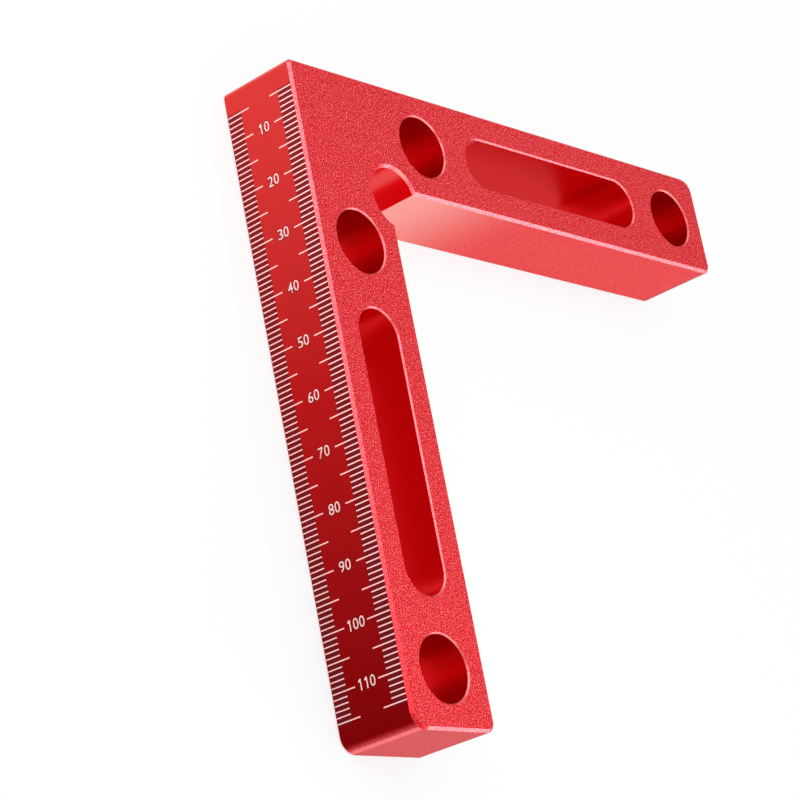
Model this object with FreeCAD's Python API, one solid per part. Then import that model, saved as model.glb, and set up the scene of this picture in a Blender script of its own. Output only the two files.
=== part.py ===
import FreeCAD, Part
import os

# Ninety-degree positioning square, milled from one thick aluminium plate.
#
# Everything is in millimetres. The origin is the outer corner of the L, on the bottom face.
# The left leg runs along +X and its outer face lies on y = 0.
# The right leg runs along +Y and its outer face lies on x = 0.
# +Z points up, from one large face to the other. The square rests on its bottom face.

# Driving sizes of the body
LEG_LENGTH = 120.0             # from the outer corner to the end of a leg
LEG_WIDTH = 20.8               # from a leg's outer face to its inner face
THICKNESS = 16.5               # between the two large faces
EDGE_CHAMFER = 0.5             # on the whole outline, at both large faces

# Rounded upright edges
OUTER_CORNER_RADIUS = 1.0      # where the two outer faces meet
LEG_END_OUTER_RADIUS = 3.0     # where a leg's end meets its outer face
LEG_END_INNER_RADIUS = 1.8     # where a leg's end meets its inner face

# Relief at the inner corner, which clears glue and the corner of a board
RELIEF_RADIUS = 5.75
RELIEF_SHIFT = 1.5             # the relief's centre stands this far off both inner faces

# Openings for clamps and bolts, the same in both legs
BORE_RADIUS = 6.0
BORE_FROM_INNER_CORNER = 12.2  # from the other leg's inner face to the first bore
BORE_FROM_LEG_END = 10.5       # from the leg's end to the second bore
SLOT_WIDTH = 10.0
WEB_BESIDE_SLOT = 6.5          # metal left between the slot and each bore
RIM_CHAMFER = 0.25             # on every bore and slot, at both large faces

# Millimetre scale on the outer faces
SCALE_PITCH = 1.0              # from one mark to the next
SCALE_MARGIN = 5.0             # first mark from the corner, last mark from the leg's end
MARKS_PER_LONG_MARK = 5        # every fifth mark is a long one
SHORT_MARK = 3.15
LONG_MARK = 5.1
MARK_WIDTH = 0.22
ETCH_DEPTH = 0.04              # how deep the pale etched layer goes below the face
MARK_EDGE_GAP = 0.05           # from the chamfer to the start of a mark

# Derived sizes
BORE_ACROSS = LEG_WIDTH / 2
FIRST_BORE = LEG_WIDTH + BORE_FROM_INNER_CORNER
SECOND_BORE = LEG_LENGTH - BORE_FROM_LEG_END
SLOT_START = FIRST_BORE + BORE_RADIUS + WEB_BESIDE_SLOT
SLOT_END = SECOND_BORE - BORE_RADIUS - WEB_BESIDE_SLOT
RELIEF_CENTRE = LEG_WIDTH + RELIEF_SHIFT

CUT_OVERRUN = 1.0              # how far a cutter runs past a face
TOLERANCE = 0.001

UP = FreeCAD.Vector(0, 0, 1)
ORIGIN = FreeCAD.Vector(0, 0, 0)
ACROSS_THE_DIAGONAL = FreeCAD.Vector(1, -1, 0)


def to_other_leg(shape):
    """Mirror a shape of the left leg onto the right leg, across the plane x = y."""
    return shape.mirror(ORIGIN, ACROSS_THE_DIAGONAL)


def on_both_legs(shape):
    """A shape of the left leg together with its twin on the right leg."""
    return [shape, to_other_leg(shape)]


# The body

def plain_square():
    """The L as sawn: one outline with sharp edges, pulled up to the full thickness."""
    outline = Part.makePolygon([
        FreeCAD.Vector(0, 0, 0),
        FreeCAD.Vector(LEG_LENGTH, 0, 0),
        FreeCAD.Vector(LEG_LENGTH, LEG_WIDTH, 0),
        FreeCAD.Vector(LEG_WIDTH, LEG_WIDTH, 0),
        FreeCAD.Vector(LEG_WIDTH, LEG_LENGTH, 0),
        FreeCAD.Vector(0, LEG_LENGTH, 0),
        FreeCAD.Vector(0, 0, 0),
    ])
    return Part.Face(outline).extrude(UP * THICKNESS)


def upright_edge(body, x, y):
    """The edge that stands upright at x, y."""
    for edge in body.Edges:
        middle = edge.CenterOfMass
        height = edge.BoundBox.ZLength
        if abs(middle.x - x) + abs(middle.y - y) < TOLERANCE and height > THICKNESS - TOLERANCE:
            return edge
    raise ValueError("no upright edge at %g, %g" % (x, y))


def round_upright_edges(body):
    """Round the outer corner and the four upright edges at the ends of the legs."""
    rounded = body.makeFillet(OUTER_CORNER_RADIUS, [upright_edge(body, 0, 0)])
    outer_ends = [upright_edge(rounded, LEG_LENGTH, 0), upright_edge(rounded, 0, LEG_LENGTH)]
    rounded = rounded.makeFillet(LEG_END_OUTER_RADIUS, outer_ends)
    inner_ends = [
        upright_edge(rounded, LEG_LENGTH, LEG_WIDTH),
        upright_edge(rounded, LEG_WIDTH, LEG_LENGTH),
    ]
    return rounded.makeFillet(LEG_END_INNER_RADIUS, inner_ends)


def upright_cylinder(x, y, radius):
    """A round cutter that runs right through the plate."""
    base = FreeCAD.Vector(x, y, -CUT_OVERRUN)
    return Part.makeCylinder(radius, THICKNESS + 2 * CUT_OVERRUN, base, UP)


def slot_cutter():
    """A cutter for the left leg's slot: a bar with two round ends."""
    radius = SLOT_WIDTH / 2
    first_centre = SLOT_START + radius
    last_centre = SLOT_END - radius
    bar = Part.makeBox(
        last_centre - first_centre,
        SLOT_WIDTH,
        THICKNESS + 2 * CUT_OVERRUN,
        FreeCAD.Vector(first_centre, BORE_ACROSS - radius, -CUT_OVERRUN),
    )
    ends = [upright_cylinder(x, BORE_ACROSS, radius) for x in (first_centre, last_centre)]
    return bar.fuse(ends).removeSplitter()


def large_faces(body):
    """The two large flat faces, on z = 0 and on z = THICKNESS."""
    found = []
    for face in body.Faces:
        box = face.BoundBox
        flat = box.ZLength < TOLERANCE
        if flat and (abs(box.ZMin) < TOLERANCE or abs(box.ZMin - THICKNESS) < TOLERANCE):
            found.append(face)
    return found


def outline_edges(body):
    """The edges round the outside of the two large faces."""
    return [edge for face in large_faces(body) for edge in face.OuterWire.Edges]


def rim_edges(body):
    """The edges round the bores and slots in the two large faces."""
    rims = []
    for face in large_faces(body):
        for wire in face.Wires:
            if not wire.isSame(face.OuterWire):
                rims.extend(wire.Edges)
    return rims


def make_body():
    """The milled square: outline, relief, chamfered edges, then the bores and slots."""
    body = round_upright_edges(plain_square())
    body = body.cut(upright_cylinder(RELIEF_CENTRE, RELIEF_CENTRE, RELIEF_RADIUS))
    body = body.makeChamfer(EDGE_CHAMFER, outline_edges(body))
    cutters = on_both_legs(slot_cutter())
    for along in (FIRST_BORE, SECOND_BORE):
        cutters += on_both_legs(upright_cylinder(along, BORE_ACROSS, BORE_RADIUS))
    body = body.cut(cutters)
    return body.makeChamfer(RIM_CHAMFER, rim_edges(body))


# The scale

def make_mark(along, length, from_top, proud):
    """One mark of the left leg, sunk into the outer face, from the top or bottom chamfer inwards.

    It stands proud of the face by the given height: none for the mark, some for its cutter.
    """
    edge_gap = EDGE_CHAMFER + MARK_EDGE_GAP
    low_end = THICKNESS - edge_gap - length if from_top else edge_gap
    corner = FreeCAD.Vector(along - MARK_WIDTH / 2, -proud, low_end)
    return Part.makeBox(MARK_WIDTH, ETCH_DEPTH + proud, length, corner)


def make_row_of_marks(from_top, proud=0.0):
    """All marks of the left leg along one edge, as a group of separate solids."""
    marks = []
    count = int(round((LEG_LENGTH - 2 * SCALE_MARGIN) / SCALE_PITCH)) + 1
    for number in range(count):
        along = SCALE_MARGIN + number * SCALE_PITCH
        is_long = number % MARKS_PER_LONG_MARK == 0
        length = LONG_MARK if is_long else SHORT_MARK
        marks.append(make_mark(along, length, from_top, proud))
    return Part.makeCompound(marks)


def etch_scale(body):
    """Sink the shallow pockets of every mark into both outer faces."""
    cutters = []
    for from_top in (True, False):
        cutters += on_both_legs(make_row_of_marks(from_top, CUT_OVERRUN))
    return body.cut(cutters)


# The files, one for each node

def save(name, shape):
    shape.exportStep("parts/" + name + ".step")
    print(name, "solids", len(shape.Solids), "volume", round(shape.Volume, 3))


os.makedirs("parts", exist_ok=True)

save("body", etch_scale(make_body()))

upper_marks = make_row_of_marks(from_top=True)
lower_marks = make_row_of_marks(from_top=False)
save("marks_left_upper", upper_marks)
save("marks_left_lower", lower_marks)
save("marks_right_upper", to_other_leg(upper_marks))
save("marks_right_lower", to_other_leg(lower_marks))
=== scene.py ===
# %% [markdown]
# # A red clamping square
#
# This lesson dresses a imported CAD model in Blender. The real object is a right-angle
# clamping square for woodworking: one L of aluminium, bead-blasted, dyed red by anodising,
# and marked by laser with a millimetre scale. The CAD file already holds the milled shape
# and the lines of the scale. Blender adds what the eye notices first: the finish of each
# surface, the numerals beside the scale, and the light.

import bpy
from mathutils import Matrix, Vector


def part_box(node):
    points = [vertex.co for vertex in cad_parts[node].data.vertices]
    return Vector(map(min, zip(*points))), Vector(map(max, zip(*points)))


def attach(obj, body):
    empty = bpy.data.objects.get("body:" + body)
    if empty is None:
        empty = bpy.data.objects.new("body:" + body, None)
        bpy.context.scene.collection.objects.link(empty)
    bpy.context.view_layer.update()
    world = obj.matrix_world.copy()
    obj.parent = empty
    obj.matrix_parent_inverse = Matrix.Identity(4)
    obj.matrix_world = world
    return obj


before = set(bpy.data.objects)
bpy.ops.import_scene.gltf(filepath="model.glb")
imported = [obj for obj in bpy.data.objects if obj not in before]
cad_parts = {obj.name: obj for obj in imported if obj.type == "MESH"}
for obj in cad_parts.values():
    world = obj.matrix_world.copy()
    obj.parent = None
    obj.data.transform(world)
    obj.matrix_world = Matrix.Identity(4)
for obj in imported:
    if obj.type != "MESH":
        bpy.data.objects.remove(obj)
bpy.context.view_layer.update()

import math

import bpy
from mathutils import Matrix, Vector

print("CAD nodes:", sorted(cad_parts))

# %% [markdown]
# ## Sizes
#
# Blender works in metres, so one named millimetre keeps the numbers readable. The sizes of
# the square are read from the CAD node instead of being typed again, so the two models
# cannot drift apart.

# %% Read the sizes of the square
MM = 0.001

body_low, body_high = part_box("body")
leg_length = body_high.x - body_low.x
thickness = body_high.z - body_low.z
print("leg", round(leg_length / MM, 2), "mm, thickness", round(thickness / MM, 2), "mm")

# %% [markdown]
# ## The camera
#
# The photograph looks down on the square through a long lens. The camera is turned far to
# the side, so the left leg hangs down in the picture. Three things place such a camera:
# where it stands, what it aims at, and how far it is rolled about its own axis. A long
# lens from half a metre away keeps the two legs almost free of perspective.

# %% Place the camera
SENSOR_WIDTH_MM = 36.0
LENS_MM = 126.7
CAMERA_PLACE = Vector((210.8, -343.4, 298.1)) * MM
CAMERA_AIM = Vector((53.4, 33.25, 0.0)) * MM
CAMERA_ROLL = math.radians(65.09)

bpy.ops.object.camera_add(location=CAMERA_PLACE)
camera = bpy.context.object
camera.name = "camera"
camera.data.sensor_width = SENSOR_WIDTH_MM
camera.data.lens = LENS_MM
aimed = (CAMERA_AIM - CAMERA_PLACE).to_track_quat("-Z", "Y").to_matrix()
rolled = Matrix.Rotation(CAMERA_ROLL, 3, Vector((0, 0, 1)))
camera.rotation_euler = (aimed @ rolled).to_euler()
bpy.context.scene.camera = camera
print("camera stands", round((CAMERA_AIM - CAMERA_PLACE).length, 3), "m from its aim")

# %% [markdown]
# ## Node helpers
#
# Every finish in this lesson is a small network of shader nodes, which could also be drawn
# by hand in the Shader Editor. Two helpers keep the code for it short. add_node makes a
# node and fills its sockets by name. feed gives a socket either a plain value or the output
# of another node.

# %% Add a node and feed its sockets
def add_node(tree, kind, settings=None, **inputs):
    node = tree.nodes.new("ShaderNode" + kind)
    for name, value in (settings or {}).items():
        setattr(node, name, value)
    for name, value in inputs.items():
        feed(tree, value, node.inputs[name.replace("_", " ")])
    return node


def feed(tree, value, socket):
    if isinstance(value, bpy.types.NodeSocket):
        tree.links.new(value, socket)
    else:
        socket.default_value = value


print("helpers for single nodes are ready")

# %% [markdown]
# Three more helpers wrap the nodes that every network needs: sums, blends of two values,
# and blends of two shaders. In each blend an amount of 0 gives the first and an amount of 1
# gives the second.

# %% Do sums and blend values or shaders
def math_node(tree, operation, *values, clamp=False):
    node = add_node(tree, "Math", {"operation": operation, "use_clamp": clamp})
    for socket, value in zip(node.inputs, values):
        feed(tree, value, socket)
    return node.outputs["Value"]


def mix_value(tree, amount, first, second):
    node = add_node(tree, "Mix", {"data_type": "FLOAT"})
    feed(tree, amount, node.inputs["Factor"])
    feed(tree, first, node.inputs["A"])
    feed(tree, second, node.inputs["B"])
    return node.outputs["Result"]


def mix_shader(tree, amount, first, second):
    node = add_node(tree, "MixShader")
    for socket, value in zip(node.inputs, (amount, first, second)):
        feed(tree, value, socket)
    return node.outputs["Shader"]


print("helpers for sums and blends are ready")

# %% [markdown]
# ## A white floor that still holds a shadow
#
# The photograph has a white background. The floor under the square is a large plane. It
# lies a hair's breadth lower than the square, because two faces at exactly the same height
# would show through each other in patches.

# %% Lay the floor
FLOOR_SIZE = 4.0
FLOOR_GAP = 0.02 * MM

bpy.ops.mesh.primitive_plane_add(size=FLOOR_SIZE, location=(0, 0, body_low.z - FLOOR_GAP))
floor = bpy.context.object
floor.name = "floor"
print("floor lies", round(FLOOR_GAP / MM, 3), "mm under the square")

# %% [markdown]
# A floor of plain white paint would come out grey wherever less light falls on it. So the
# floor mixes two shaders: a diffuse one that takes shadows, and an emitting one of strength
# 1, which the picture shows as exact white. The Light Path node lets only the camera,
# mirror-like reflections and clear materials see the white. The light that the floor throws
# back onto the square stays that of ordinary paint.

# %% Mix the floor's paint with white
WHITE = (1.0, 1.0, 1.0, 1.0)
SHOWN_AS_WHITE = 1.0
FLOOR_PAINT = (0.85, 0.85, 0.85, 1.0)
FLOOR_WHITENESS = 0.92


def seen_as_background(tree):
    rays = add_node(tree, "LightPath").outputs
    seen = math_node(tree, "MAXIMUM", rays["Is Camera Ray"], rays["Is Glossy Ray"])
    return math_node(tree, "MAXIMUM", seen, rays["Is Transmission Ray"])


floor_material = bpy.data.materials.new("white_floor")
floor_material.use_nodes = True
tree = floor_material.node_tree
tree.nodes.clear()
whiteness = math_node(tree, "MULTIPLY", seen_as_background(tree), FLOOR_WHITENESS)
paint = add_node(tree, "BsdfDiffuse", Color=FLOOR_PAINT)
glow = add_node(tree, "Emission", Color=WHITE, Strength=SHOWN_AS_WHITE)
print("the floor shows", round(100 * FLOOR_WHITENESS), "% white")

# %% [markdown]
# An Ambient Occlusion node measures how closed in a place is. It takes a little white away
# close to the square, a painted contact shadow, so the square does not float. From below,
# the floor is clear, so that the underside of the square can be looked at too.

# %% Ground the square and clear the floor from below
CONTACT_REACH = 12.0 * MM
CONTACT_SHARE = 0.25
CONTACT_SAMPLES = 8
FULLY_OPEN = 1.0

openness = add_node(tree, "AmbientOcclusion", {"samples": CONTACT_SAMPLES},
                    Distance=CONTACT_REACH)
# painted contact shadow: less white where the square closes the floor in
contact = mix_value(tree, CONTACT_SHARE, FULLY_OPEN, openness.outputs["AO"])
whiteness = math_node(tree, "MULTIPLY", whiteness, contact)
solid = mix_shader(tree, whiteness, paint.outputs["BSDF"], glow.outputs["Emission"])
from_below = add_node(tree, "NewGeometry").outputs["Backfacing"]
clear = add_node(tree, "BsdfTransparent")
surface = mix_shader(tree, from_below, solid, clear.outputs["BSDF"])
add_node(tree, "OutputMaterial", Surface=surface)
floor.data.materials.append(floor_material)
print("contact shadow reaches", round(CONTACT_REACH / MM, 1), "mm")

# %% [markdown]
# ## World and lamps
#
# A product studio is a white room with soft boxes. The world stands in for the white room.
# It lights the square gently, and the metal mirrors it as plain white.

# %% Light the white room
ROOM_LIGHT = 0.8

world = bpy.data.worlds.new("white_room")
bpy.context.scene.world = world
world.use_nodes = True
tree = world.node_tree
tree.nodes.clear()
room = add_node(tree, "Background", Color=WHITE, Strength=ROOM_LIGHT)
wall = add_node(tree, "Background", Color=WHITE, Strength=SHOWN_AS_WHITE)
surface = mix_shader(tree, seen_as_background(tree), room.outputs["Background"],
                     wall.outputs["Background"])
add_node(tree, "OutputWorld", Surface=surface)
print("room light", ROOM_LIGHT)

# %% [markdown]
# Four soft boxes add the accents. A weak key lamp stands low beside the corner of the
# square, and a top lamp hangs over the end of the left leg. A back lamp picks out the bevels
# that face away, and a small one lifts the tone of the far end. Each box is an area lamp,
# because a wide source gives soft edges to every shine. It is placed by the spot that it
# aims at, the direction it stands in, and the distance.

# %% Hang the soft boxes
NEAR_CORNER = Vector((10.0, 0.0, 8.0)) * MM
LEFT_END = Vector((95.0, 10.0, 16.0)) * MM
MIDDLE = Vector((45.0, 45.0, 8.0)) * MM
SOFT_BOXES = {
    "key": dict(aim=NEAR_CORNER, direction=(-0.30, -0.72, 0.34),
                distance=0.12, size=0.08, watts=0.07),
    "top": dict(aim=LEFT_END, direction=(-0.312, -0.583, 0.75),
                distance=0.40, size=0.20, watts=0.40),
    "back": dict(aim=MIDDLE, direction=(0.583, 0.75, 0.312),
                 distance=0.70, size=0.30, watts=1.6),
    "end": dict(aim=LEFT_END, direction=(0.0, 0.35, 0.94),
                distance=0.12, size=0.06, watts=0.02),
}


def soft_box(name, aim, direction, distance, size, watts):
    place = aim + Vector(direction).normalized() * distance
    bpy.ops.object.light_add(type="AREA", location=place)
    lamp = bpy.context.object
    lamp.name = name
    lamp.data.size = size
    lamp.data.energy = watts
    lamp.rotation_euler = (aim - place).to_track_quat("-Z", "Y").to_euler()
    lamp.visible_camera = False
    print(name, watts, "W at", [round(side, 2) for side in place])


for name, settings in SOFT_BOXES.items():
    soft_box(name, **settings)

# %% [markdown]
# ## Which surface is which
#
# One piece of metal carries several finishes, and the normal of each surface tells most of
# them apart. The two large faces look straight up or down. The bevels lean at 45 degrees.
# What is left stands upright: outer faces, inner faces, ends of the legs and walls of the
# holes. A node group turns this into masks, values from 0 to 1 that any material can use.
# Separate materials for picked faces would do the same, but a mask can also fade.

# %% Tell large, leaning and upright surfaces apart
LARGE_FACE_TILT = 0.9
UPRIGHT_TILT = 0.25
KINDS = ("Large", "Bevel", "Rim", "Outer", "Hole", "Slot", "Relief", "End")


def new_group(name, outputs, inputs=()):
    group = bpy.data.node_groups.new(name, "ShaderNodeTree")
    for socket, kind in inputs:
        group.interface.new_socket(socket, in_out="INPUT", socket_type=kind)
    for socket, kind in outputs:
        group.interface.new_socket(socket, in_out="OUTPUT", socket_type=kind)
    return group, group.nodes.new("NodeGroupInput"), group.nodes.new("NodeGroupOutput")


face_kinds, _, result = new_group("face_kinds", [(kind, "NodeSocketFloat") for kind in KINDS])
geometry = add_node(face_kinds, "NewGeometry").outputs
normal = add_node(face_kinds, "SeparateXYZ", Vector=geometry["True Normal"]).outputs
tilt = math_node(face_kinds, "ABSOLUTE", normal["Z"])
large = math_node(face_kinds, "GREATER_THAN", tilt, LARGE_FACE_TILT)
leaning = math_node(face_kinds, "GREATER_THAN", tilt, UPRIGHT_TILT)
bevel = math_node(face_kinds, "SUBTRACT", leaning, large)
upright = math_node(face_kinds, "SUBTRACT", 1.0, leaning)
feed(face_kinds, large, result.inputs["Large"])
feed(face_kinds, bevel, result.inputs["Bevel"])
print("face_kinds will give", len(KINDS), "masks")

# %% [markdown]
# Upright surfaces are told apart by their place. Seen from above, the distance across a leg
# is the smaller of x and y, and the distance along it the larger one. Two comparisons say
# whether a distance lies within two limits, and multiplying masks keeps only what all of
# them cover.

# %% Measure across and along a leg
def leg_distances(tree, place):
    sides = add_node(tree, "SeparateXYZ", Vector=place).outputs
    across = math_node(tree, "MINIMUM", sides["X"], sides["Y"])
    along = math_node(tree, "MAXIMUM", sides["X"], sides["Y"])
    return across, along


def overlap(tree, first, *others):
    for other in others:
        first = math_node(tree, "MULTIPLY", first, other)
    return first


def within(tree, value, low, high):
    above = math_node(tree, "GREATER_THAN", value, low)
    return overlap(tree, above, math_node(tree, "LESS_THAN", value, high))


across, along = leg_distances(face_kinds, add_node(face_kinds, "TexCoord").outputs["Object"])
print("the distance along a leg runs up to", round(leg_length / MM, 1), "mm")

# %% [markdown]
# The holes lie in a strip along the middle of each leg. The relief, the round bite at the
# inner corner, lies beyond that strip. The ends lie beyond the last hole.

# %% Find the holes, the relief and the ends
WEB_TO_HOLES = 3.5 * MM
FAR_SIDE_OF_HOLES = 16.48 * MM
LAST_HOLE_END = leg_length - 3.2 * MM
RELIEF_REACH = 27.87 * MM

in_strip = within(face_kinds, across, WEB_TO_HOLES, FAR_SIDE_OF_HOLES)
before_end = math_node(face_kinds, "LESS_THAN", along, LAST_HOLE_END)
hole = overlap(face_kinds, in_strip, before_end, upright)
near_corner = math_node(face_kinds, "LESS_THAN", along, RELIEF_REACH)
past_strip = math_node(face_kinds, "GREATER_THAN", across, FAR_SIDE_OF_HOLES)
relief = overlap(face_kinds, near_corner, past_strip, upright)
past_holes = math_node(face_kinds, "GREATER_THAN", along, LAST_HOLE_END)
feed(face_kinds, hole, result.inputs["Hole"])
feed(face_kinds, relief, result.inputs["Relief"])
feed(face_kinds, overlap(face_kinds, past_holes, upright), result.inputs["End"])
print("holes lie up to", round(LAST_HOLE_END / MM, 1), "mm from the corner")

# %% [markdown]
# The rims are the bevels round the holes and round the deep side of the relief. Their mask
# is the bevel mask, cut down to the middle of the legs. The slots are the walls that lie
# between the two bores.

# %% Find the rims and the slots
INNER_BEVEL_START = 20.0 * MM
SLOT_START = 44.0 * MM
SLOT_END = 98.5 * MM

rim = within(face_kinds, across, WEB_TO_HOLES, INNER_BEVEL_START)
rim = overlap(face_kinds, rim, before_end, bevel)
feed(face_kinds, rim, result.inputs["Rim"])
slot = within(face_kinds, along, SLOT_START, SLOT_END)
feed(face_kinds, overlap(face_kinds, slot, hole), result.inputs["Slot"])
print("slots lie from", round(SLOT_START / MM, 1), "to", round(SLOT_END / MM, 1), "mm")

# %% [markdown]
# The outer faces look towards minus x or minus y. Here the smooth normal is used and not
# the true one, so the mask fades out round the corners at the ends of the legs, just as the
# shading does.

# %% Find the outer faces
OUTER_FADE_START = -0.50
OUTER_FADE_END = 0.35


def fade(tree, value, start, end):
    node = add_node(tree, "MapRange", {"interpolation_type": "SMOOTHSTEP"})
    feed(tree, value, node.inputs["Value"])
    feed(tree, start, node.inputs["From Min"])
    feed(tree, end, node.inputs["From Max"])
    return node.outputs["Result"]


rounded = add_node(face_kinds, "SeparateXYZ", Vector=geometry["Normal"]).outputs
inwards = math_node(face_kinds, "ADD", rounded["X"], rounded["Y"])
outwards = math_node(face_kinds, "MULTIPLY", inwards, -1.0)
outer = fade(face_kinds, outwards, OUTER_FADE_START, OUTER_FADE_END)
outer = overlap(face_kinds, outer, math_node(face_kinds, "SUBTRACT", upright, hole))
outer = math_node(face_kinds, "SUBTRACT", outer, relief, clamp=True)
feed(face_kinds, outer, result.inputs["Outer"])
print("face_kinds gives", [socket.name for socket in result.inputs if socket.name])

# %% [markdown]
# ## Bead-blasted grain
#
# Glass beads shot at aluminium leave tiny round dents, about a fifth of a millimetre across.
# Light catches each dent on one side, so the dyed face looks speckled rather than even. One
# noise texture gives the dents and a finer one breaks them up. Modelling the dents would
# take millions of faces, and at this size nobody could tell. The group hands out three
# values: the speckle between 0 and 1, the glint on the brightest dents only, and the same
# pattern as a height about zero for the bump.

# %% Build the blasted_grain node group
GRAIN_SCALE = 4600.0
FINE_GRAIN_SCALE = 9500.0
FINE_GRAIN_SHARE = 0.35
GRAIN_DETAIL = 1.0
MEAN_GRAIN = 0.5
DARKEST_GRAIN = 0.41
BRIGHTEST_GRAIN = 0.57
GLINT_START = 0.555
GLINT_FULL = 0.64

blasted_grain, given, result = new_group(
    "blasted_grain",
    [("Speckle", "NodeSocketFloat"), ("Glint", "NodeSocketFloat"), ("Height", "NodeSocketFloat")],
    [("Place", "NodeSocketVector")],
)
dents, fine = [
    add_node(blasted_grain, "TexNoise", Vector=given.outputs["Place"], Scale=scale,
             Detail=GRAIN_DETAIL).outputs["Fac"]
    for scale in (GRAIN_SCALE, FINE_GRAIN_SCALE)
]
height = mix_value(blasted_grain, FINE_GRAIN_SHARE, dents, fine)
spread = add_node(blasted_grain, "MapRange", Value=height,
                  From_Min=DARKEST_GRAIN, From_Max=BRIGHTEST_GRAIN)
glint = fade(blasted_grain, height, GLINT_START, GLINT_FULL)
centred = math_node(blasted_grain, "SUBTRACT", height, MEAN_GRAIN)
feed(blasted_grain, spread.outputs["Result"], result.inputs["Speckle"])
feed(blasted_grain, glint, result.inputs["Glint"])
feed(blasted_grain, centred, result.inputs["Height"])
print("grain of about", round(1.0 / GRAIN_SCALE / MM, 2), "mm")

# %% [markdown]
# ## Scorched metal beside the marks
#
# The laser that burns a line into the dye also heats the metal next to it. Between the
# crowded lines of the scale the red looks darker and browner than on the open face. The
# lines stand in two rows along the edges of each outer face, so the distance from the
# nearest large face tells where the rows are, and the distance along the leg tells where
# they begin and end.

# %% Build the scorch node group
ROW_DEPTH = 3.7 * MM
ROW_START = 4.6 * MM
ROW_END = leg_length - ROW_START
SOFT_EDGE = 0.25 * MM

scorch, given, result = new_group(
    "scorch", [("Mask", "NodeSocketFloat")], [("Place", "NodeSocketVector")],
)
place = add_node(scorch, "SeparateXYZ", Vector=given.outputs["Place"]).outputs
along = math_node(scorch, "MAXIMUM", place["X"], place["Y"])
from_bottom = math_node(scorch, "SUBTRACT", place["Z"], body_low.z)
from_top = math_node(scorch, "SUBTRACT", body_high.z, place["Z"])
from_edge = math_node(scorch, "MINIMUM", from_bottom, from_top)
in_row = fade(scorch, from_edge, ROW_DEPTH + SOFT_EDGE, ROW_DEPTH - SOFT_EDGE)
after_start = fade(scorch, along, ROW_START - SOFT_EDGE, ROW_START + SOFT_EDGE)
before_end = fade(scorch, along, ROW_END + SOFT_EDGE, ROW_END - SOFT_EDGE)
feed(scorch, overlap(scorch, in_row, after_start, before_end), result.inputs["Mask"])
print("rows of marks run from", round(ROW_START / MM, 1), "to", round(ROW_END / MM, 1), "mm")

# %% [markdown]
# ## The anodised body
#
# Anodising grows a clear, hard film on the aluminium and fills it with dye. The film tints
# whatever the metal mirrors, so the body is a metallic material with a red base colour. The
# red differs from place to place, and the masks say which one goes where.

# %% Start the material of the body
def new_material(name):
    material = bpy.data.materials.new(name)
    material.use_nodes = True
    return material, material.node_tree, material.node_tree.nodes["Principled BSDF"]


def use_group(tree, group, **inputs):
    node = tree.nodes.new("ShaderNodeGroup")
    node.node_tree = group
    for name, value in inputs.items():
        feed(tree, value, node.inputs[name.replace("_", " ")])
    return node.outputs


body_material, tree, shader = new_material("anodised_body")
place = add_node(tree, "TexCoord").outputs["Object"]
across, along = leg_distances(tree, place)
down_the_leg = math_node(tree, "DIVIDE", along, leg_length)
kinds = use_group(tree, face_kinds)
grain = use_group(tree, blasted_grain, Place=place)
print("masks:", kinds.keys(), "grain:", grain.keys())

# %% [markdown]
# Blasted metal scatters light. Each dent has a shaded side and a lit side, so the large
# faces blend from a deep red to a light one as the speckle says: painted light and shade of
# the dents. The brightest dents get a painted pink glint. The colour does most of this work,
# because the bump of such small dents hardly shows from where the camera stands.

# %% Mix the blasted red
BLAST_DARK = (0.36, 0.000, 0.002, 1.0)
BLAST_LIGHT = (0.92, 0.040, 0.052, 1.0)
GLINT_PINK = (1.00, 0.280, 0.310, 1.0)


def mix_colour(tree, amount, first, second):
    node = add_node(tree, "Mix", {"data_type": "RGBA"})
    feed(tree, amount, node.inputs["Factor"])
    feed(tree, first, node.inputs["A"])
    feed(tree, second, node.inputs["B"])
    return node.outputs["Result"]


# painted light and shade of the dents, laid on by the speckle
blasted = mix_colour(tree, grain["Speckle"], BLAST_DARK, BLAST_LIGHT)
# painted glint on the brightest dents
blasted = mix_colour(tree, grain["Glint"], blasted, GLINT_PINK)
print("blasted red runs from", BLAST_DARK[:3], "to", BLAST_LIGHT[:3])

# %% [markdown]
# Handling rubs the dye off an edge first, and a bevel catches light along its whole length.
# So the bevels are much paler than the faces they join, partly from wear and partly as a
# painted highlight. Those beside the outer faces are painted darker towards the ends of the
# legs, the same painted shade as on the outer faces.

# %% Mix the pinks of the bevels
BEVEL_PINK = (0.88, 0.18, 0.20, 1.0)
BEVEL_ROSE = (0.60, 0.055, 0.07, 1.0)
BEVEL_FAR_PINK = (0.79, 0.034, 0.042, 1.0)
BEVEL_FAR_ROSE = (0.42, 0.008, 0.012, 1.0)

beside_outer = math_node(tree, "LESS_THAN", across, WEB_TO_HOLES)
# painted shade: the bevels beside the outer faces darken down the leg
deep = overlap(tree, beside_outer, down_the_leg)
rose = mix_colour(tree, deep, BEVEL_ROSE, BEVEL_FAR_ROSE)
pink = mix_colour(tree, deep, BEVEL_PINK, BEVEL_FAR_PINK)
bevelled = mix_colour(tree, grain["Speckle"], rose, pink)
print("bevels go from", BEVEL_PINK[:3], "at the corner to", BEVEL_FAR_PINK[:3])

# %% [markdown]
# A rim runs round in a circle, and it shines in the two places where it faces a light.
# These shines are painted highlights in the rim's colour. The dot product of the normal with
# a fixed direction tells how squarely a surface faces that way. This belongs to the surface
# and not to the camera, so the bright places stay where they are when the square is looked
# at from elsewhere.

# %% Brighten the rims where they face the light
RIM_HIGHLIGHT_PINK = (1.00, 0.26, 0.25, 1.0)
RIM_BANDS = ((-0.35, -0.61, 0.70), (0.60, -0.37, 0.70))
RIM_BAND_SPREAD = (0.955, 0.992)


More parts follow.
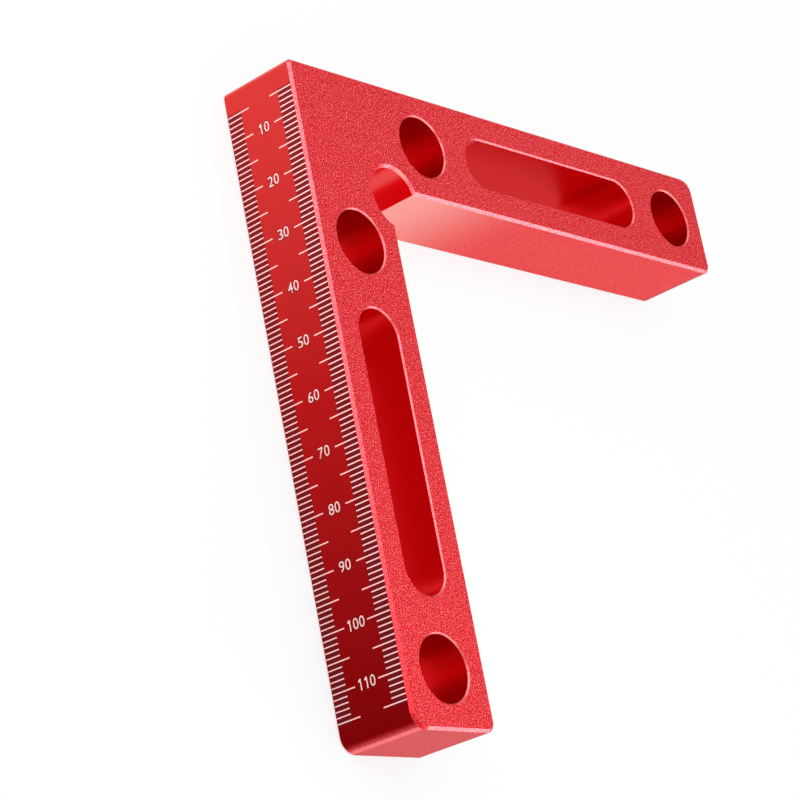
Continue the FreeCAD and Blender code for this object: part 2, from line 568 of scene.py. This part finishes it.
def facing(tree, direction, faint, full):
    normal = add_node(tree, "NewGeometry").outputs["Normal"]
    turned = add_node(tree, "VectorMath", {"operation": "DOT_PRODUCT"})
    feed(tree, normal, turned.inputs[0])
    feed(tree, direction, turned.inputs[1])
    return fade(tree, turned.outputs["Value"], faint, full)


# painted highlights on the rims, where they face fixed directions
bands = [facing(tree, direction, *RIM_BAND_SPREAD) for direction in RIM_BANDS]
bright = overlap(tree, kinds["Rim"], math_node(tree, "MAXIMUM", *bands))
bevelled = mix_colour(tree, bright, bevelled, RIM_HIGHLIGHT_PINK)
print("each rim shines in", len(bands), "places")

# %% [markdown]
# The inner faces are lightly blasted, so they take a share of the blasted red. Near the
# corner a pale painted highlight is laid over them. The fade is squared, so the highlight
# falls off quickly at first and slowly later.

# %% Mix the reds of the inner faces
INNER_ROSE = (0.90, 0.092, 0.092, 1.0)
INNER_GRAIN = 0.40
INNER_HIGHLIGHT_PINK = (1.00, 0.500, 0.450, 1.0)
INNER_HIGHLIGHT_REACH = 72.0 * MM
INNER_HIGHLIGHT_POWER = 2.0
INNER_HIGHLIGHT_SHARE = 0.85

# painted highlight on the inner faces, strongest near the corner
highlit = fade(tree, along, INNER_HIGHLIGHT_REACH, RELIEF_REACH)
highlit = math_node(tree, "POWER", highlit, INNER_HIGHLIGHT_POWER)
highlit = math_node(tree, "MULTIPLY", highlit, INNER_HIGHLIGHT_SHARE)
inner = mix_colour(tree, INNER_GRAIN, INNER_ROSE, blasted)
inner = mix_colour(tree, highlit, inner, INNER_HIGHLIGHT_PINK)
print("inner faces are rubbed up to", round(INNER_HIGHLIGHT_REACH / MM, 1), "mm from the corner")

# %% [markdown]
# The ends of the legs are grainier and rosier than the inner faces. Where an end turns
# round into the outer face, the photograph shows a narrow sheen and, just past it, a deep
# clean red. The sheen is a painted highlight, a band by direction as on the rims. The deep
# red follows the fading mask of the outer faces.

# %% Mix the reds of the ends
END_ROSE = (0.75, 0.190, 0.205, 1.0)
END_GRAIN = 0.70
END_SHEEN = (0.98, 0.220, 0.240, 1.0)
END_BAND = (0.94, -0.34, 0.0)
END_BAND_SPREAD = (0.965, 0.999)
TURNING_RED = (0.75, 0.010, 0.015, 1.0)

ending = mix_colour(tree, END_GRAIN, END_ROSE, blasted)
# painted highlight: a narrow sheen where the end turns into the outer face
ending = mix_colour(tree, facing(tree, END_BAND, *END_BAND_SPREAD), ending, END_SHEEN)
ending = mix_colour(tree, kinds["Outer"], ending, TURNING_RED)
print("ends hold", round(100 * END_GRAIN), "% of the blasted red")

# %% [markdown]
# On the outer faces a painted shade darkens the red from the corner to the end of each leg.
# A Color Ramp with three stops sets that: the distance down the leg, as a share of its
# length, picks the red. The rounded corner itself gets a paler rose, a painted highlight.
# The scorch mask then darkens the metal between the marks.

# %% Mix the red of the outer faces
CORNER_RED = (0.74, 0.046, 0.043, 1.0)
MIDDLE_RED = (0.475, 0.008, 0.009, 1.0)
FAR_RED = (0.20, 0.000, 0.001, 1.0)
HALF_WAY = 0.5
CORNER_HIGHLIGHT_ROSE = (0.90, 0.150, 0.140, 1.0)
OUTER_CORNER = (-0.707, -0.707, 0.0)
CORNER_SPREAD = (0.75, 0.95)
SCORCHED = (0.115, 0.010, 0.014, 1.0)
SCORCH_STRENGTH = 0.75

# painted shade: the red darkens down the leg
ramp = add_node(tree, "ValToRGB", Fac=down_the_leg)
stops = ramp.color_ramp.elements
stops.new(HALF_WAY)
for stop, red in zip(stops, (CORNER_RED, MIDDLE_RED, FAR_RED)):
    stop.color = red
# painted highlight on the rounded outer corner
corner_highlight = facing(tree, OUTER_CORNER, *CORNER_SPREAD)
outer = mix_colour(tree, corner_highlight, ramp.outputs["Color"], CORNER_HIGHLIGHT_ROSE)
burnt = use_group(tree, scorch, Place=place)["Mask"]
burnt = math_node(tree, "MULTIPLY", burnt, SCORCH_STRENGTH)
outer = mix_colour(tree, burnt, outer, SCORCHED)
print("dye ramp stops at", [round(stop.position, 2) for stop in stops])

# %% [markdown]
# The milled walls of the holes are smoother than the rest and keep the full depth of the
# dye. A round wall shows a soft upright band where it faces one way, like the shine on a
# turned rod, and here that band is a painted highlight. In the bores the band rises slowly
# on one side and falls quickly on the other, so it is made of two fades over the normal's x.
# The relief has a paler band by direction, also a painted highlight.

# %% Mix the reds of the hole walls
SLOT_RED = (0.75, 0.003, 0.006, 1.0)
BORE_RED = (0.60, 0.001, 0.003, 1.0)
BORE_SHINE = (0.84, 0.003, 0.005, 1.0)
BAND_RISE = (-0.60, 0.10)
BAND_FALL = (0.80, 0.52)
RELIEF_RED = (0.82, 0.004, 0.007, 1.0)
RELIEF_HIGHLIGHT_ROSE = (0.92, 0.090, 0.095, 1.0)
RELIEF_BAND = (0.966, -0.259, 0.0)
RELIEF_BAND_SPREAD = (0.90, 0.995)

normal = add_node(tree, "NewGeometry").outputs["Normal"]
sideways = add_node(tree, "SeparateXYZ", Vector=normal).outputs["X"]
# painted highlight: the upright band in the bores
band = overlap(tree, fade(tree, sideways, *BAND_RISE), fade(tree, sideways, *BAND_FALL))
bore = mix_colour(tree, band, BORE_RED, BORE_SHINE)
hole = mix_colour(tree, kinds["Slot"], bore, SLOT_RED)
# painted highlight: the paler band on the relief wall
relief_highlight = facing(tree, RELIEF_BAND, *RELIEF_BAND_SPREAD)
relief = mix_colour(tree, relief_highlight, RELIEF_RED, RELIEF_HIGHLIGHT_ROSE)
print("the bores' band ends where the normal's x reaches", BAND_FALL[0])

# %% [markdown]
# The masks now lay one red over another, like stencils. The order matters where two masks
# share a place, as the ends and the outer faces do: the one laid later wins.

# %% Lay the reds over each other
colour = inner
for kind, red in (("End", ending), ("Hole", hole), ("Relief", relief),
                  ("Outer", outer), ("Large", blasted), ("Bevel", bevelled)):
    colour = mix_colour(tree, kinds[kind], colour, red)
feed(tree, colour, shader.inputs["Base Color"])
print("body colour mixed from", len(tree.nodes), "nodes")

# %% [markdown]
# Roughness follows the same masks. Blasted metal blurs reflections the most, the milled
# walls of the bores the least.

# %% Set how rough each surface is
BLAST_ROUGHNESS = 0.50
INNER_ROUGHNESS = 0.45
SMOOTH_ROUGHNESS = 0.32
BORE_ROUGHNESS = 0.28
SLOT_ROUGHNESS = 0.30
BEVEL_ROUGHNESS = 0.34

roughness = mix_value(tree, kinds["Outer"], INNER_ROUGHNESS, SMOOTH_ROUGHNESS)
milled = mix_value(tree, kinds["Slot"], BORE_ROUGHNESS, SLOT_ROUGHNESS)
for kind, value in (("Hole", milled), ("Large", BLAST_ROUGHNESS), ("Bevel", BEVEL_ROUGHNESS)):
    roughness = mix_value(tree, kinds[kind], roughness, value)
feed(tree, roughness, shader.inputs["Roughness"])
print("roughness", BORE_ROUGHNESS, "to", BLAST_ROUGHNESS)

# %% [markdown]
# The bump uses the height of the grain, and only where beads have hit: on the large faces,
# the bevels and the ends. It tilts the shading normal of each dent and leaves the shape as
# it is.

# %% Dent the blasted surfaces
BUMP_DEPTH = 0.03 * MM
FULL_BUMP = 1.0

grainy = math_node(tree, "MAXIMUM", kinds["Large"], kinds["Bevel"])
grainy = math_node(tree, "MAXIMUM", grainy, kinds["End"])
height = overlap(tree, grain["Height"], grainy)
bump = add_node(tree, "Bump", Strength=FULL_BUMP, Distance=BUMP_DEPTH, Height=height)
feed(tree, bump.outputs["Normal"], shader.inputs["Normal"])
print("dents are at most", round(BUMP_DEPTH / MM, 3), "mm deep")

# %% [markdown]
# Under the dye there is metal, so Metallic is high, and highest on the smooth outer faces.
# A thin coat stands for the glossy top of the film. The outer faces do without it, because
# there it would lay a grey veil over the deep red. A pink tint on the specular keeps the
# shine at flat angles from turning white.

# %% Set the metal and the film
BLAST_METALLIC = 0.8
OUTER_METALLIC = 0.90
FILM_GLOSS = 0.08
OUTER_FILM_GLOSS = 0.0
FILM_ROUGHNESS = 0.3
FILM_SPECULAR = 0.25
EDGE_TINT = (1.0, 0.45, 0.46, 1.0)

metallic = mix_value(tree, kinds["Outer"], BLAST_METALLIC, OUTER_METALLIC)
feed(tree, metallic, shader.inputs["Metallic"])
film = mix_value(tree, kinds["Outer"], FILM_GLOSS, OUTER_FILM_GLOSS)
feed(tree, film, shader.inputs["Coat Weight"])
shader.inputs["Coat Roughness"].default_value = FILM_ROUGHNESS
shader.inputs["Specular IOR Level"].default_value = FILM_SPECULAR
shader.inputs["Specular Tint"].default_value = EDGE_TINT
print("metallic", BLAST_METALLIC, "and", OUTER_METALLIC, "on the outer faces")

# %% [markdown]
# ## The etched scale
#
# Where the laser has burnt the dye away, the bare oxide is left: matt, slightly rough and
# almost white, with a breath of pink from the red around it. The same grain that speckles
# the body breaks up its white.

# %% Mix the material of the marks
ETCHED_LIGHT = (1.00, 0.62, 0.60, 1.0)
ETCHED_DARK = (0.92, 0.46, 0.45, 1.0)
ETCHED_ROUGHNESS = 0.65

marks_material, tree, shader = new_material("etched_marks")
place = add_node(tree, "TexCoord").outputs["Object"]
grain = use_group(tree, blasted_grain, Place=place)
etched = mix_colour(tree, grain["Speckle"], ETCHED_DARK, ETCHED_LIGHT)
feed(tree, etched, shader.inputs["Base Color"])
shader.inputs["Roughness"].default_value = ETCHED_ROUGHNESS
print("marks material has", len(tree.nodes), "nodes")

# %% [markdown]
# Right beside each stroke of a numeral the laser scorches the metal, which leaves a thin dark
# halo. It is the same dyed film as on the outer faces, only much darker, and it carries the
# same painted shade down the leg as they do.

# %% Mix the material of the scorched halos
HALO_NEAR = (0.26, 0.010, 0.012, 1.0)
HALO_FAR = (0.085, 0.000, 0.001, 1.0)

halo_material, tree, shader = new_material("scorched_halo")
place = add_node(tree, "TexCoord").outputs["Object"]
sides = add_node(tree, "SeparateXYZ", Vector=place).outputs
along = math_node(tree, "MAXIMUM", sides["X"], sides["Y"])
# painted shade: the halos darken down the leg
burnt = mix_colour(tree, math_node(tree, "DIVIDE", along, leg_length), HALO_NEAR, HALO_FAR)
feed(tree, burnt, shader.inputs["Base Color"])
shader.inputs["Roughness"].default_value = SMOOTH_ROUGHNESS
shader.inputs["Metallic"].default_value = OUTER_METALLIC
shader.inputs["Specular Tint"].default_value = EDGE_TINT
shader.inputs["Specular IOR Level"].default_value = FILM_SPECULAR
print("halos go from", HALO_NEAR[:3], "at the corner to", HALO_FAR[:3])

# %% [markdown]
# ## The numerals
#
# The scale is numbered every ten millimetres. The digits are narrow and plain, as on most
# machine-marked rulers. Every digit is modelled once, lying flat with its foot on the
# origin, and copied later. These two helpers measure a flat piece and squeeze it to a width
# and a height.

# %% Measure and squeeze a flat piece
def flat_box(piece):
    corners = [vertex.co for vertex in piece.data.vertices]
    return [(min(c[axis] for c in corners), max(c[axis] for c in corners)) for axis in (0, 1)]


def squeeze_to(piece, width, height):
    (left, right), (low, high) = flat_box(piece)
    piece.scale = (width / (right - left), height / (high - low), 1.0)
    bpy.ops.object.transform_apply(location=False, rotation=False, scale=True)
    (left, right), (low, high) = flat_box(piece)
    piece.location = (-(left + right) / 2, -low, 0.0)
    bpy.ops.object.transform_apply(location=True, rotation=False, scale=False)


print("helpers for flat pieces are ready")

# %% [markdown]
# Blender's own typeface gives all digits but the 1. Its letters are wider and thinner than
# the etched ones, so each digit is made a little fatter and then squeezed. Few curve steps
# are enough for digits two millimetres high.

# %% Make the digits from the typeface
DIGIT_HEIGHT = 1.95 * MM
DIGIT_WIDTH = 1.17 * MM
FATTER = 0.008 * MM
CURVE_STEPS = 5


def typeface_digit(character):
    bpy.ops.object.select_all(action="DESELECT")
    bpy.ops.object.text_add()
    letter = bpy.context.object
    letter.data.body = character
    letter.data.size = DIGIT_HEIGHT
    letter.data.offset = FATTER
    letter.data.resolution_u = CURVE_STEPS
    bpy.ops.object.convert(target="MESH")
    piece = bpy.context.object
    piece.name = "digit_" + character
    squeeze_to(piece, DIGIT_WIDTH, DIGIT_HEIGHT)
    return piece


digits = {character: typeface_digit(character) for character in "023456789"}
print("typeface digits:", {name: len(piece.data.polygons) for name, piece in digits.items()})

# %% [markdown]
# The typeface stands its 1 on a foot, which the etched 1 doesn't have, so the 1 is built by
# hand. It starts as a plain upright strip, and a cut across it marks where its flag ends.

# %% Cut a strip for the 1
STROKE = 0.26 * MM
FLAG_START = 0.74

bpy.ops.object.select_all(action="DESELECT")
bpy.ops.mesh.primitive_plane_add(size=1.0)
one = bpy.context.object
one.name = "digit_1"
one.dimensions = (STROKE, DIGIT_HEIGHT, 0.0)
one.location = (STROKE / 2, DIGIT_HEIGHT / 2, 0.0)
bpy.ops.object.transform_apply(location=True, rotation=False, scale=True)

bpy.ops.object.mode_set(mode="EDIT")
bpy.ops.mesh.select_all(action="SELECT")
bpy.ops.mesh.bisect(plane_co=(0.0, DIGIT_HEIGHT * FLAG_START, 0.0), plane_no=(0.0, 1.0, 0.0))
bpy.ops.mesh.select_all(action="DESELECT")
bpy.ops.object.mode_set(mode="OBJECT")
print("the strip has", len(one.data.polygons), "faces")

# %% [markdown]
# The left edge above the cut is picked by its place, pulled out and down, and made shorter.
# That is the flag.

# %% Pull out the flag of the 1
FLAG_REACH = 0.34 * MM
FLAG_DROP = 0.16 * MM
FLAG_TAPER = 0.55
TOUCHING = 0.001 * MM

flag_low = DIGIT_HEIGHT * FLAG_START - TOUCHING
for edge in one.data.edges:
    ends = [one.data.vertices[index].co for index in edge.vertices]
    edge.select = all(end.x < STROKE / 2 and end.y > flag_low for end in ends)
bpy.ops.object.mode_set(mode="EDIT")
bpy.ops.mesh.select_mode(type="EDGE")
bpy.ops.mesh.extrude_region_move(
    TRANSFORM_OT_translate={"value": (-FLAG_REACH, -FLAG_DROP, 0.0)})
bpy.ops.transform.resize(value=(1.0, FLAG_TAPER, 1.0))
bpy.ops.mesh.select_mode(type="VERT")
bpy.ops.object.mode_set(mode="OBJECT")
digits["1"] = one
print("the 1 has", len(one.data.polygons), "faces")

# %% [markdown]
# The flat digits now get a thickness. Most of it will lie in the metal like an inlay, and
# only a hundredth of a millimetre will stand proud, so that the digits don't flicker with
# the face behind them. Doubles are merged first, and the normals are turned outwards last.

# %% Thicken the digits
INLAY_DEPTH = 0.03 * MM
PROUD = 0.012 * MM


def thicken(piece):
    bpy.ops.object.select_all(action="DESELECT")
    piece.select_set(True)
    bpy.context.view_layer.objects.active = piece
    bpy.ops.object.mode_set(mode="EDIT")
    bpy.ops.mesh.select_all(action="SELECT")
    bpy.ops.mesh.remove_doubles(threshold=TOUCHING)
    bpy.ops.mesh.extrude_region_move(
        TRANSFORM_OT_translate={"value": (0.0, 0.0, INLAY_DEPTH + PROUD)})
    bpy.ops.mesh.select_all(action="SELECT")
    bpy.ops.transform.translate(value=(0.0, 0.0, -INLAY_DEPTH))
    bpy.ops.mesh.normals_make_consistent(inside=False)
    bpy.ops.object.mode_set(mode="OBJECT")


for piece in digits.values():
    thicken(piece)
print("thick digits:", {name: len(piece.data.polygons) for name, piece in digits.items()})

# %% [markdown]
# The halo of a digit is a fatter copy of it. Shrink/Fatten pushes every vertex outwards along
# its normal, which also changes the heights. This helper puts them right again. It picks the
# vertices that lie on the same side of the metal's face as the wanted height, and scales
# them by zero along z about that height, which presses them flat there.

# %% Press one side of a shape flat
def press_flat(piece, height):
    bpy.ops.object.mode_set(mode="EDIT")
    bpy.ops.mesh.select_all(action="DESELECT")
    bpy.ops.object.mode_set(mode="OBJECT")
    for vertex in piece.data.vertices:
        vertex.select = (vertex.co.z > 0.0) == (height > 0.0)
    bpy.ops.object.mode_set(mode="EDIT")
    bpy.ops.transform.resize(value=(1.0, 1.0, 0.0), center_override=(0.0, 0.0, height))
    bpy.ops.object.mode_set(mode="OBJECT")


print("the helper that presses flat is ready")

# %% [markdown]
# Each halo is pressed flat twice, above the face and below it. It stands less proud than its
# digit, so it shows only round the strokes and inside the loops. In the tightest inner
# corners the outline of a halo folds over itself. That doesn't show, because the fold lies in
# the same plane and is just as dark.

# %% Model the halos
HALO_WIDTH = 0.14 * MM
HALO_PROUD = 0.006 * MM


def make_halo(piece):
    bpy.ops.object.select_all(action="DESELECT")
    halo = piece.copy()
    halo.data = piece.data.copy()
    bpy.context.collection.objects.link(halo)
    halo.select_set(True)
    bpy.context.view_layer.objects.active = halo
    bpy.ops.object.mode_set(mode="EDIT")
    bpy.ops.mesh.select_all(action="SELECT")
    bpy.ops.transform.shrink_fatten(value=HALO_WIDTH, use_even_offset=True)
    bpy.ops.object.mode_set(mode="OBJECT")
    press_flat(halo, HALO_PROUD)
    press_flat(halo, -INLAY_DEPTH)
    return halo


halos = {character: make_halo(piece) for character, piece in digits.items()}
print("a halo is", [round(side / MM, 2) for side in halos["0"].dimensions], "mm, its digit",
      [round(side / MM, 2) for side in digits["0"].dimensions], "mm")

# %% [markdown]
# The numbers stand between the two rows of marks, centred on their line. A turn carries the
# flat shapes, digits or halos, onto an upright face: it says which way the number reads and
# which way its head points. Each copy gets its own mesh, so that it can be joined and moved
# without touching the first one.

# %% Copy one number onto a face
DIGIT_STEP = 1.38 * MM


def face_turn(reading, upwards):
    reading, upwards = Vector(reading), Vector(upwards)
    return Matrix((reading, upwards, reading.cross(upwards))).transposed()


def copy_number(number, shapes, along, turn):
    text = str(number)
    spot = Vector(along) * number * MM + Vector((0.0, 0.0, thickness / 2))
    copies = []
    for index, character in enumerate(text):
        copy = shapes[character].copy()
        copy.data = shapes[character].data.copy()
        bpy.context.collection.objects.link(copy)
        shift = (index - (len(text) - 1) / 2) * DIGIT_STEP
        flat_place = Vector((shift, -DIGIT_HEIGHT / 2, 0.0))
        copy.matrix_world = Matrix.Translation(spot + turn @ flat_place) @ turn.to_4x4()
        copies.append(copy)
    return copies


print("digits stand", round(DIGIT_STEP / MM, 2), "mm apart")

# %% [markdown]
# On the left leg the numbers read from the bench upwards, with their heads towards the
# corner. The right leg mirrors the left one, so there too the numbers stand upright when the
# corner points up. All digits of a leg are joined into one piece that rides on the body, and
# so are all halos. The digits are dressed later like the marks, because the same laser makes
# both. The halos are the body's metal, only darker.

# %% Set the numbers along both legs
NUMBER_STEP = 10
LAST_NUMBER = 110
LEFT_LEG = ((1.0, 0.0, 0.0), face_turn((0, 0, 1), (-1, 0, 0)))
RIGHT_LEG = ((0.0, 1.0, 0.0), face_turn((0, 0, -1), (0, -1, 0)))


def set_numbers(name, shapes, slot, along, turn):
    copies = []
    for number in range(NUMBER_STEP, LAST_NUMBER + 1, NUMBER_STEP):
        copies += copy_number(number, shapes, along, turn)
    bpy.ops.object.select_all(action="DESELECT")
    for copy in copies:
        copy.select_set(True)
    bpy.context.view_layer.objects.active = copies[0]
    bpy.ops.object.join()
    bpy.ops.object.transform_apply(location=True, rotation=True, scale=True)
    piece = bpy.context.object
    piece.name = name
    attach(piece, "root")
    print(name, "holds", len(copies), "copies and", len(piece.data.polygons), "faces")
    return piece


numbers = [
    set_numbers("numerals_left", digits, "scale_marks", *LEFT_LEG),
    set_numbers("numerals_right", digits, "scale_marks", *RIGHT_LEG),
]
number_halos = [
    set_numbers("halos_left", halos, "anodised_body", *LEFT_LEG),
    set_numbers("halos_right", halos, "anodised_body", *RIGHT_LEG),
]

# %% [markdown]
# The digits and halos that were copied have done their work. They would show as stray pieces
# at the corner of the square, so they are deleted.

# %% Delete the first digits and halos
first_shapes = [*digits.values(), *halos.values()]
bpy.ops.object.select_all(action="DESELECT")
for piece in first_shapes:
    piece.select_set(True)
bpy.ops.object.delete()
print("deleted", len(first_shapes), "shapes")

# %% [markdown]
# ## Dressing the pieces
#
# The CAD nodes arrive in plain materials. Their shapes stay as they are, and only the
# materials are exchanged: the etched one for the marks and the numerals, the scorched one
# for the halos, the anodised one for the body.

# %% Dress the CAD nodes and the numerals
def dress(piece, material):
    piece.data.materials.clear()
    piece.data.materials.append(material)
    print(piece.name, "wears", material.name)


for name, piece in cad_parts.items():
    dress(piece, marks_material if name.startswith("marks") else body_material)
for piece in numbers:
    dress(piece, marks_material)
for piece in number_halos:
    dress(piece, halo_material)

# %% [markdown]
# ## Finish
#
# The Standard view shows each colour as it is written. The dressed square is as big as the
# CAD model, apart from the numerals, which stand a hundredth of a millimetre proud.

# %% Show the colours as written
bpy.context.scene.view_settings.view_transform = "Standard"
